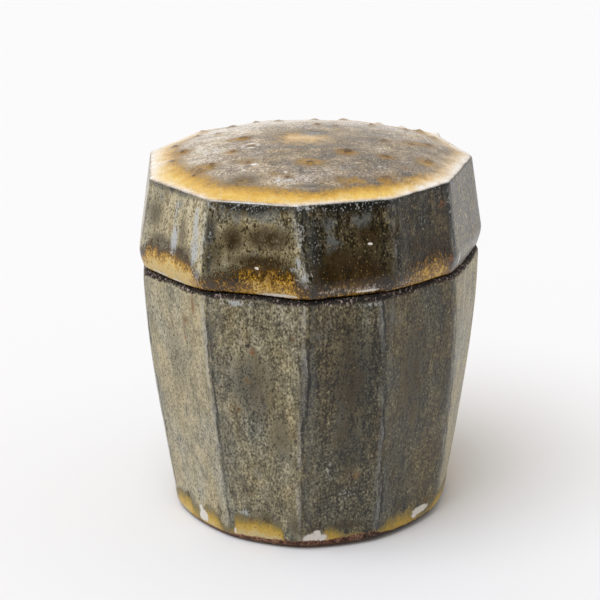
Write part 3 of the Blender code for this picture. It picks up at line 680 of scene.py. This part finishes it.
def lid_layers(mesh):
    """Paints the lid: its marks, its rim pool and wall pool, the iron at its edge, and the clay left bare under it."""
    places, direction, radius = places_of(mesh)
    run, outside, rim_run = layer_of(mesh, "run"), layer_of(mesh, "outside"), run_at_edge(mesh)
    on_top = (outside > 0.5) * ramp(run, rim_run + RIM_BLEND, rim_run - RIM_BLEND)
    on_wall = (outside > 0.5) * (1 - on_top)
    layers = {name: np.zeros(len(places)) for name in LAYERS}
    soft_marks(mesh, layers, LID_WALL_MARKS, outside * (1 - on_top))
    soft_marks(mesh, layers, LID_TOP_MARKS, on_top, from_above=True)

    reach, strength, cream = round_the_jar(direction, RIM_POOL)
    inwards = np.clip(rim_run - run, 0, None)
    lay(layers, "amber", strength * np.clip(1.3 - inwards / reach, 0, 1) * on_top)
    lay(layers, "cream", 1.05 * np.exp(-inwards / cream) * on_top)
    climb, thick = round_the_jar(direction, LID_POOL)
    hangs = places[:, 2] - LID_RIM + round_the_jar(direction, SEAM_SAG)[0]
    lay(layers, "amber", thick * np.clip(1.2 - np.clip(hangs, 0, None) / climb, 0, 1) * on_wall)
    iron, hang = round_the_jar(direction, RIM_IRON)
    lay(layers, "dark", iron * np.exp(-(np.clip(run - rim_run - 0.3, 0, None) / hang) ** 2) * on_wall)

    under = (places[:, 2] < LID_RIM + 6) & (outside < 0.5)
    layers["bare"] = ramp(hangs, 0.6, -0.2) * (outside > 0.2) + under
    layers["walls"] = 1 - on_top
    # Painted shade, partly smoke: the lid's underside near its rim is painted dark towards the outside, where the joint
    # lies in shade.
    layers["smoke_and_painted_shade"] = ramp(places[:, 2], LID_RIM + 9, LID_RIM + 6) * joint_smoke_and_shade(radius)
    # Fly ash lay thickest on the top's left and back, and thinner in its middle. The left and back are also painted
    # paler as painted light and painted reflection, where the light falls and the glaze mirrors the bright room.
    windward_and_lit = np.clip(0.45 - places[:, 0] / 90 + places[:, 1] / 110, 0, 1)
    top_ash_and_light = 0.22 + 0.48 * windward_and_lit + 0.18 * ramp(radius, 12, 27) + 0.31 * ramp(places[:, 1], 8, 33)
    # The facets' paleness is partly painted light and shade, and so is the top's.
    layers["ash"] = by_facet(mesh, LID_ASH_AND_SHADE) * (1 - on_top) + top_ash_and_light * on_top
    layers["grit"] = by_facet(mesh, LID_GRIT) * (1 - on_top) + on_top
    paint(mesh, layers)


def body_layers(mesh):
    """Paints the body: its marks and its foot pools, and its bare foot, shoulder and collar."""
    places, direction, radius = places_of(mesh)
    outside, height = layer_of(mesh, "outside"), places[:, 2]
    layers = {name: np.zeros(len(places)) for name in LAYERS}
    soft_marks(mesh, layers, BODY_MARKS, outside)
    stands, thick = round_the_jar(direction, FOOT_POOL)
    lay(layers, "amber", thick * np.clip(1.25 - np.clip(height - 1, 0, None) / stands, 0, 1.1) * (outside > 0.2))

    beyond_mouth = radius > MOUTH_RADIUS - 0.5
    collar = (outside < 0.4) & (height > BODY_HEIGHT - 1.5) & beyond_mouth
    hangs = height + round_the_jar(direction, SEAM_SAG)[0]
    seam = ramp(hangs, BODY_HEIGHT - 1.7, BODY_HEIGHT - 0.1) * beyond_mouth
    recess = (height < 2) & (radius <= 33)
    foot = ramp(height - round_the_jar(direction, FOOT_BARE)[0], 0.4, -0.4) * (radius > 20)
    layers["bare"] = np.clip(foot + collar + seam + recess, 0, 1)
    # Painted shade: the clay is painted black where the foot's edge lifts off the floor on the right, in place of the
    # dark contact shadow under it. The joint under the lid is painted dark too, partly smoke and partly painted shade.
    foot_painted_shade = ramp(height, 4, 2) * np.minimum(ramp(round_the_jar(direction, FOOT_LIFT)[0], 0.25, 0.75), 0.62)
    layers["smoke_and_painted_shade"] = foot_painted_shade + ramp(height, 55, 60) * joint_smoke_and_shade(radius)
    layers["walls"] = np.ones(len(places))
    # The facets' paleness is partly painted light and shade.
    outer_ash_and_shade = by_facet(mesh, BODY_ASH_AND_SHADE) + 0.03 * (1 - height / BODY_HEIGHT)
    layers["ash"] = outer_ash_and_shade * outside + 0.6 * (1 - outside)
    layers["grit"] = by_facet(mesh, BODY_GRIT) * outside + 1 - outside
    paint(mesh, layers)


def warp_foot(mesh):
    """Lifts the foot's outer edge by what it warped, so that a dark line of shadow shows under it on the right."""
    places, direction, radius = places_of(mesh)
    places[:, 2] += round_the_jar(direction, FOOT_LIFT)[0] * ramp(radius, 31.5, 33.5) * ramp(places[:, 2], 8, 2)
    mesh.vertices.foreach_set("co", (places * MM).ravel())
    mesh.update()


def linear(hex_colour):
    """An sRGB hex colour as linear red, green, blue and full alpha."""
    parts = [int(hex_colour[i:i + 2], 16) / 255 for i in (1, 3, 5)]
    return tuple(p / 12.92 if p <= 0.04045 else ((p + 0.055) / 1.055) ** 2.4 for p in parts) + (1.0,)


def size(millimetres):
    """The noise scale that makes features of that real size, on coordinates in metres."""
    return 1 / (millimetres * MM)


# Ash glaze from where it ran thin over iron clay to where ash lay thick: olive where warm, stone grey where cool.
WARM_ASH = ((0.0, "#17130b"), (1.0, "#ddd0a8"), (0.22, "#3a3019"), (0.42, "#665a3c"), (0.6, "#8c805c"),
            (0.78, "#b2a681"))
COOL_ASH = ((0.0, "#10120f"), (1.0, "#d8d8cc"), (0.22, "#2d302b"), (0.42, "#5c5f56"), (0.6, "#80847a"),
            (0.78, "#a8a99b"))
WARM_TOP = ((0.0, "#2c2215"), (1.0, "#ece3d3"), (0.3, "#665236"), (0.5, "#8e7650"), (0.7, "#b8a17a"))
COOL_TOP = ((0.0, "#2a2723"), (1.0, "#ebe7e2"), (0.3, "#675f58"), (0.5, "#8f857d"), (0.7, "#b8afa7"))
# The same melt pooled, from iron brown at the pool's upper edge through amber and honey to straw where it is thickest.
LID_HONEY = ((0.0, "#241706"), (1.0, "#f2da90"), (0.26, "#3a2608"), (0.42, "#6c4d0c"), (0.56, "#a67c1a"),
             (0.70, "#d6a530"), (0.84, "#edc866"))
FOOT_STRAW = ((0.0, "#6a6248"), (1.0, "#efe3bd"), (0.26, "#857a54"), (0.40, "#a18c4c"), (0.52, "#bf9f44"),
              (0.66, "#d9b54c"), (0.84, "#e4c671"))
BLUE_GREY = "#6f7678"
BLUE_BLACK = "#181916"
# Pale bluish ash, and also the colour of the painted glints on the lid's walls.
PALE_ASH_AND_GLINT = "#c5ccd1"
IRON_BROWN = "#3a290a"
IRON_HALO = "#8d6630"
IRON_BUMP = "#4a3212"
CREAM = "#fcf9f3"
STRAW = "#d9ca98"
RUST = "#8c5524"
CLAY_FLASH = "#a35e2c"
# Clay wiped bare: red-brown grog under the foot, and black with ash crust in the lid's joint, partly smoke and partly
# painted shade. The same black is painted under the foot's lifted edge as painted shade.
FOOT_CLAY = ((0.0, "#33201a"), (1.0, "#d9b49b"), (0.35, "#6b4838"), (0.6, "#8f6853"), (0.82, "#b08b74"))
SMOKED_AND_SHADED_CLAY = ((0.0, "#0b0a0a"), (1.0, "#c4b6ae"), (0.40, "#191412"), (0.62, "#3d2f28"), (0.80, "#85766d"))


def melt_over(tree, under, tone, cover, start, full, most=1.0):
    """Lays one melt over another: none of it where cover is at start, as much as most where cover is at full."""
    share = add(tree, "MapRange", {"Value": cover, "From Min": start, "From Max": full, "To Max": most},
                interpolation_type="SMOOTHSTEP")
    tone = linear(tone) if isinstance(tone, str) else tone
    return add(tree, "Mix", {0: share, 6: under, 7: tone}, out=2, data_type="RGBA")


def with_noise(tree, value, *noises):
    """A value with each noise added by its share."""
    for noise, share in noises:
        value = add(tree, "Math", (noise, share, value), operation="MULTIPLY_ADD")
    return value


def broken_edge(tree, layer, *noises):
    """A painted layer whose edge breaks into specks and runs, where one melt ate into another."""
    painted = add(tree, "Attribute", out="Fac", attribute_name=layer)
    present = add(tree, "MapRange", {"Value": painted, "From Max": 0.2})
    return add(tree, "Math", (with_noise(tree, painted, *noises), present), operation="MULTIPLY")


def thin_ash(tree, field, shares, warmth, warm, cool):
    """The glaze where nothing pooled: as pale as the painted ash layer, which holds how thick the ash lay and also
    painted light and shade, full of grit, warmer and cooler in patches.
    """
    grains = with_noise(tree, 0.0, *((field[label], share) for label, share in shares))
    level = add(tree, "Math", (grains, broken_edge(tree, "grit"), broken_edge(tree, "ash")), operation="MULTIPLY_ADD")
    cold, hot = (add(tree, "ValToRGB", {"Fac": level}, stops=tones) for tones in (cool, warm))
    hue = with_noise(tree, field["hue"], (field["mottle"], 0.6))
    return melt_over(tree, cold, hot, hue, -1.6 - warmth, 1.4 - warmth)


def arris_lines(tree, colour, field, strength):
    """Glaze runs thin off each arris and leaves a pale band, with a broken dark line of iron on its right."""
    across = add(tree, "SeparateXYZ", (add(tree, "UVMap", uv_map="glaze_run"),))
    wavering = with_noise(tree, across, (field["mottle"], 0.035), (field["grain"], 0.015))
    place = add(tree, "Math", (wavering,), operation="FRACT")
    mm_right = add(tree, "Math", (place, FACET_WIDTH), operation="MULTIPLY")
    mm_left = add(tree, "Math", (FACET_WIDTH, mm_right), operation="SUBTRACT")
    on_wall = add(tree, "Math", (broken_edge(tree, "walls"), broken_edge(tree, "cut")), operation="MULTIPLY")
    on_wall = add(tree, "Math", (on_wall, strength), operation="MULTIPLY")
    patchy = add(tree, "MapRange", {"Value": field["streak"], "From Min": -0.5, "From Max": 0.35, "To Max": on_wall})
    thin = add(tree, "Math", (patchy, 0.45), operation="MULTIPLY")
    line = add(tree, "Math", (mm_right, 0.4, 0.4), operation="COMPARE")
    colour = melt_over(tree, colour, BLUE_GREY, mm_right, 6.0, 1.0, thin)
    colour = melt_over(tree, colour, PALE_ASH_AND_GLINT, mm_left, 2.2, 0.3, thin)
    return melt_over(tree, colour, BLUE_BLACK, line, 0.0, 1.0, patchy)


def pooled_glaze(tree, colour, field, walls, tones, wall_grain, wall_speck):
    """Thick honey-amber glaze: on the walls its upper edge burnt dark and peppery, and it crazed where palest."""
    # Each pair holds a value for the lid's top and one for the walls.
    grain, speck, least, thinnest, start = (
        add(tree, "MapRange", {"Value": walls, "To Min": on_top, "To Max": on_walls})
        for on_top, on_walls in ((0.12, wall_grain), (0.10, wall_speck), (0.3, 0.0), (0.40, 0.0), (0.28, 0.14)))
    uneven = with_noise(tree, field["grain"], (field["mottle"], 0.5))
    thick = broken_edge(tree, "amber", (uneven, grain), (field["speck"], speck))
    tone = add(tree, "MapRange", {"Value": thick, "From Min": least, "From Max": 1.25, "To Min": thinnest,
                                  "To Max": 0.92})
    full = add(tree, "Math", (start, 2.3), operation="MULTIPLY")
    colour = melt_over(tree, colour, add(tree, "ValToRGB", {"Fac": tone}, stops=tones), thick, start, full)
    bent = add(tree, "VectorMath", (field["colour"], (2.2 * MM,) * 3, field["at"]), operation="MULTIPLY_ADD")
    craze = add(tree, "TexVoronoi", {"Vector": bent, "Scale": size(6.5)}, feature="DISTANCE_TO_EDGE")
    glassy = add(tree, "MapRange", {"Value": thick, "From Min": 0.7, "From Max": 1.1, "To Max": 0.5})
    return melt_over(tree, colour, STRAW, craze, 0.05, 0.015, glassy)


def kiln_marks(tree, colour, field, walls, pinholes):
    """Iron that burnt dark, ash that stayed white and the rust and specks that the fire drew out of the clay, with the
    painted glints that the pale layer also holds.
    """
    torn = ((field["grain"], 0.36), (field["speck"], 0.85), (field["mottle"], 0.25))
    soft = ((field["grain"], 0.30), (field["speck"], 0.60), (field["mottle"], 0.25))
    for layer, tone, edge, start, full, most in (
            ("dark", BLUE_BLACK, torn, 0.30, 0.75, 0.92), ("brown", IRON_BROWN, torn, 0.30, 0.85, 0.85),
            ("pale", PALE_ASH_AND_GLINT, soft, 0.25, 1.0, 0.85), ("iron_halo", IRON_HALO, torn, 0.35, 1.1, 0.6),
            ("iron", IRON_BUMP, torn, 0.28, 0.65, 0.9)):
        colour = melt_over(tree, colour, tone, broken_edge(tree, layer, *edge), start, full, most)
    salted = add(tree, "Math", (broken_edge(tree, "dark"), 0.6), operation="MULTIPLY")
    pierced = add(tree, "Math", (walls, 0.8), operation="MULTIPLY")
    for tone, start, full, most in ((PALE_ASH_AND_GLINT, 0.22, 0.42, salted), (STRAW, 0.46, 0.66, 0.32),
                                    (BLUE_BLACK, pinholes, pinholes - 0.08, pierced)):
        colour = melt_over(tree, colour, tone, field["speck"], start, full, most)
    start = add(tree, "MapRange", {"Value": walls, "To Min": 0.02, "To Max": 0.42})
    full = add(tree, "MapRange", {"Value": walls, "To Min": 1.05, "To Max": 0.62})
    white = broken_edge(tree, "cream", (field["grain"], 0.10), (field["mottle"], 0.15))
    colour = melt_over(tree, colour, CREAM, white, start, full)
    return melt_over(tree, colour, RUST, broken_edge(tree, "rust", *torn), 0.30, 0.9, 0.85)


def ash_glaze(name, seed, speck_size, grain_share, warmth, least_rough, arris_strength, pool, pool_grain, pool_speck,
              pinholes):
    """Wood-ash glaze over iron-bearing stoneware, thrown, dipped and wood fired.

    Melted ash flows off the arrises, which come out pale, and pools honey amber where it is thick. Fly ash and
    iron from the clay pepper it with straw, grey and black specks, and it cools to a satin gloss. Many real specks
    are finer than 0.3 mm, and are drawn 0.36 to 0.46 mm wide so that they show. Where the lid met the body and
    under the foot the clay was wiped bare and fired red-brown to black; its black is partly painted shade, in the
    joint and under the foot's lifted edge.
    """
    glaze = bpy.data.materials.new(name)
    tree = fresh_tree(glaze)
    at = add(tree, "TexCoord", out="Object")
    # Runs, grains and specks, drawn out downwards the more the further they flowed.
    tall, hung, fallen = (add(tree, "VectorMath", (at, (1.0, 1.0, squeeze)), operation="MULTIPLY")
                          for squeeze in (0.1, 0.42, 0.72))
    field = {label: add(tree, "TexNoise", {"Vector": where, "W": seed + turn, "Scale": size(mm), "Detail": octaves,
                                           "Roughness": rough}, noise_dimensions="4D", normalize=False)
             for turn, (label, where, mm, octaves, rough) in enumerate((
                 ("speck", fallen, speck_size, 1.0, 0.5), ("grain", hung, 2.0, 4.0, 0.85),
                 ("mottle", hung, 7.0, 2.0, 0.7), ("hue", hung, 6.0, 1.0, 0.5), ("streak", tall, 1.2, 2.0, 0.6)))}
    field["at"] = at
    field["colour"] = add(tree, "TexNoise", {"Vector": at, "Scale": size(8.0)}, out="Color")

    walls = broken_edge(tree, "walls", (field["grain"], 0.3), (field["speck"], 0.6))
    top = thin_ash(tree, field, (("grain", 0.16), ("mottle", 0.24), ("speck", 0.50)), 0.0, WARM_TOP, COOL_TOP)
    wall_shares = (("grain", grain_share), ("mottle", 0.07), ("speck", grain_share * 1.8), ("streak", 0.07))
    wall = thin_ash(tree, field, wall_shares, warmth, WARM_ASH, COOL_ASH)
    colour = melt_over(tree, top, wall, walls, 0.4, 0.6)
    blue = broken_edge(tree, "blue", (field["grain"], 0.35), (field["mottle"], 0.3))
    colour = melt_over(tree, colour, BLUE_GREY, blue, 0.3, 0.9, 0.7)
    colour = arris_lines(tree, colour, field, arris_strength)
    colour = pooled_glaze(tree, colour, field, walls, pool, pool_grain, pool_speck)
    colour = kiln_marks(tree, colour, field, walls, pinholes)

    bare = broken_edge(tree, "bare", (field["grain"], 0.3), (field["mottle"], 0.25), (field["speck"], 0.3))
    # The black clay is partly smoke and partly painted shade, in the joint and under the foot's lifted edge.
    smoke_and_shade = broken_edge(tree, "smoke_and_painted_shade")
    gritty = with_noise(tree, 0.43, (field["speck"], 0.7), (field["grain"], 0.35))
    clay, black_clay = (add(tree, "ValToRGB", {"Fac": gritty}, stops=tones) for tones in (FOOT_CLAY, SMOKED_AND_SHADED_CLAY))
    clay = melt_over(tree, clay, black_clay, smoke_and_shade, 0.2, 0.9)
    flash = add(tree, "MapRange", {"Value": smoke_and_shade, "From Max": 0.5, "To Min": 0.7, "To Max": 0.0})
    colour = melt_over(tree, colour, CLAY_FLASH, bare, 0.25, 0.45, flash)
    colour = melt_over(tree, colour, clay, bare, 0.42, 0.60)

    satin = add(tree, "MapRange", {"Value": field["grain"], "From Min": -0.5, "From Max": 0.5, "To Min": least_rough,
                                   "To Max": least_rough + 0.2})
    roughness = add(tree, "MapRange", {"Value": bare, "From Min": 0.42, "From Max": 0.6, "To Min": satin,
                                       "To Max": 0.85})
    height = with_noise(tree, field["grain"], (field["speck"], 0.5), (field["streak"], 0.6))
    # The glossier melt was runnier, so its skin settled smoother too.
    skin = add(tree, "Bump", {"Strength": least_rough * 2.5, "Distance": 0.08 * MM, "Height": height})
    shader = add(tree, "BsdfPrincipled", {"Base Color": colour, "Roughness": roughness, "Normal": skin, "IOR": 1.5})
    add(tree, "OutputMaterial", {"Surface": shader}, out=None)
    return glaze


def wall_places(spots, radius_at):
    """Spots on a wall as points: direction and height become x, y and z on its surface."""
    return [(*from_front(direction, radius_at(height) * SPOT_INSET), height, *rest)
            for direction, height, *rest in spots]


def build_pieces():
    """Both pieces, each standing for its CAD node and riding on that node's body."""
    tree = thrown_cut_and_glazed()
    body_glaze = ash_glaze("satin_ash_glaze_on_stoneware", seed=1.0, speck_size=0.46, grain_share=0.16, warmth=0.2,
                           least_rough=0.36, arris_strength=0.8, pool=FOOT_STRAW, pool_grain=0.18, pool_speck=0.14,
                           pinholes=-0.46)
    lid_glaze = ash_glaze("glossy_ash_glaze_on_stoneware", seed=11.0, speck_size=0.36, grain_share=0.27, warmth=1.0,
                          least_rough=0.15, arris_strength=0.6, pool=LID_HONEY, pool_grain=0.26, pool_speck=0.60,
                          pinholes=-0.44)
    body_arrises = arris_wire("body_arrises", (FOOT_DIRECTIONS, FOOT_SHARES, FOOT_SOFTNESS),
                              (SHOULDER_DIRECTIONS, SHOULDER_SHARES, SHOULDER_SOFTNESS))
    lid_arrises = arris_wire("lid_arrises", (LID_RIM_DIRECTIONS, LID_RIM_SHARES, LID_RIM_SOFTNESS),
                             (LID_TOP_DIRECTIONS, LID_TOP_SHARES, LID_TOP_SOFTNESS))
    body_spots = spots_wire("body_spots", wall_places(BODY_SPOTS, body_radius))
    top_spots = [(x, y, dome_height(math.hypot(x, y)), *rest) for x, y, *rest in TOP_SPOTS]
    lid_spots = spots_wire("lid_spots", top_spots + wall_places(LID_WALL_SPOTS, lambda height: LID_WALL_RADIUS))
    profiles = [profile_wire("body_profile", body_profile()), profile_wire("lid_profile", lid_profile())]
    body = thrown("glazed_faceted_body", tree, profiles[0], body_arrises, body_spots, body_glaze)
    lid = thrown("glazed_faceted_lid", tree, profiles[1], lid_arrises, lid_spots, lid_glaze, Seed=8.0)
    for helper in profiles + [body_arrises, lid_arrises, body_spots, lid_spots]:
        bpy.data.objects.remove(helper)
    body_layers(body.data)
    warp_foot(body.data)
    lid_layers(lid.data)
    for piece, node, moves_with, slot in ((body, "jar_body", "jar", "body_glaze"), (lid, "lid", "lid", "lid_glaze")):
        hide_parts(node)
        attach(piece, moves_with)


def build_floor():
    """A wide pale paper sweep, which lights the jar with its own colour and which the camera sees near white.

    What the glaze mirrors of it is near white behind and beside the jar, and falls dark towards the camera.
    """
    mesh = bpy.data.meshes.new("paper_floor")
    reach = 4.0
    mesh.from_pydata([(x, y, 0) for x, y in ((-reach, -reach), (reach, -reach), (reach, reach), (-reach, reach))], [],
                     [(0, 1, 2, 3)])
    # Uncoated paper is rough and without gloss, so the jar stands on it without a mirror image.
    paper = bpy.data.materials.new("matt_white_paper")
    tree = fresh_tree(paper)
    path = add(tree, "LightPath", out=None).outputs
    back = add(tree, "SeparateXYZ", (add(tree, "TexCoord", out="Object"),), out="Y")
    lit = add(tree, "MapRange", {"Value": back, "From Min": -0.24, "From Max": -0.06, "To Min": 0.2})
    mirrored = add(tree, "Math", (path["Is Glossy Ray"], lit), operation="MULTIPLY")
    white = add(tree, "Math", (path["Is Camera Ray"], mirrored), operation="MAXIMUM")
    shade = add(tree, "Mix", {0: path["Is Glossy Ray"], 6: linear("#c9c2bb"), 7: linear("#26241f")}, out=2,
                data_type="RGBA")
    tone = add(tree, "Mix", {0: white, 6: shade, 7: linear("#f3f3f4")}, out=2, data_type="RGBA")
    shader = add(tree, "BsdfPrincipled", {"Base Color": tone, "Roughness": 0.9, "Specular IOR Level": 0.0})
    add(tree, "OutputMaterial", {"Surface": shader}, out=None)
    mesh.materials.append(paper)
    floor = place_in_scene("paper_floor", mesh)


# The room's light is a little warm and the window's a little cool, as linear red, green and blue.
WARM_ROOM = (1.075, 1.0, 0.905, 1.0)
COOL_DAYLIGHT = (0.935, 1.0, 1.11)


def build_lights():
    """Soft daylight from above on the left, in a pale room that is dark on the camera's side.

    The camera sees the room plain white, and the glaze mirrors its bright side brighter than it lights the jar.
    """
    world = bpy.data.worlds.new("white_room")
    bpy.context.scene.world = world
    tree = fresh_tree(world)
    path = add(tree, "LightPath", out=None).outputs
    towards = add(tree, "TexCoord", out="Generated")
    bright_side = add(tree, "VectorMath", (towards, (-0.25, 0.36, 1.0)), out="Value", operation="DOT_PRODUCT")
    room, mirrored = (add(tree, "MapRange", {"Value": bright_side, "From Min": dark_at, "From Max": bright_at,
                                             "To Min": least, "To Max": most})
                      for dark_at, bright_at, least, most in ((-0.4, 0.9, 0.05, 0.72), (0.0, 0.7, 0.03, 1.0)))
    lighting = add(tree, "Mix", {0: path["Is Glossy Ray"], 2: room, 3: mirrored})
    strength = add(tree, "Mix", {0: path["Is Camera Ray"], 2: lighting, 3: 1.0})
    colour = add(tree, "Mix", {0: path["Is Camera Ray"], 6: WARM_ROOM, 7: (1.0, 1.0, 1.0, 1.0)}, out=2,
                 data_type="RGBA")
    sky = add(tree, "Background", {"Color": colour, "Strength": strength})
    add(tree, "OutputWorld", {"Surface": sky}, out=None)
    for name, direction, height, power, spread in (("window_light", -48, 66, 1.60, 45),
                                                   ("far_wall_light", 98, 22, 0.2, 60)):
        lamp = bpy.data.lights.new(name, "SUN")
        lamp.energy = power
        lamp.angle = math.radians(spread)
        lamp.color = COOL_DAYLIGHT
        lift = math.radians(height)
        from_where = Vector((*from_front(direction, math.cos(lift)), math.sin(lift)))
        place_in_scene(name, lamp).rotation_euler = from_where.to_track_quat("Z", "Y").to_euler()


def build_camera():
    """The photograph's view, fitted to it: a long lens above the lid, the jar just right of the middle."""
    camera = bpy.data.cameras.new("photo_view")
    camera.lens = 107.64
    camera.sensor_width = 36.0
    camera.shift_x = -0.0158
    made = place_in_scene("photo_view", camera)
    made.location = (0.0, -0.4238, 0.20305)
    aim = Vector((0.0, 0.0, 0.0518)) - made.location
    made.rotation_euler = aim.to_track_quat("-Z", "Y").to_euler()
    bpy.context.scene.camera = made


build_pieces()
build_floor()
build_lights()
build_camera()
bpy.context.scene.view_settings.view_transform = "Standard"
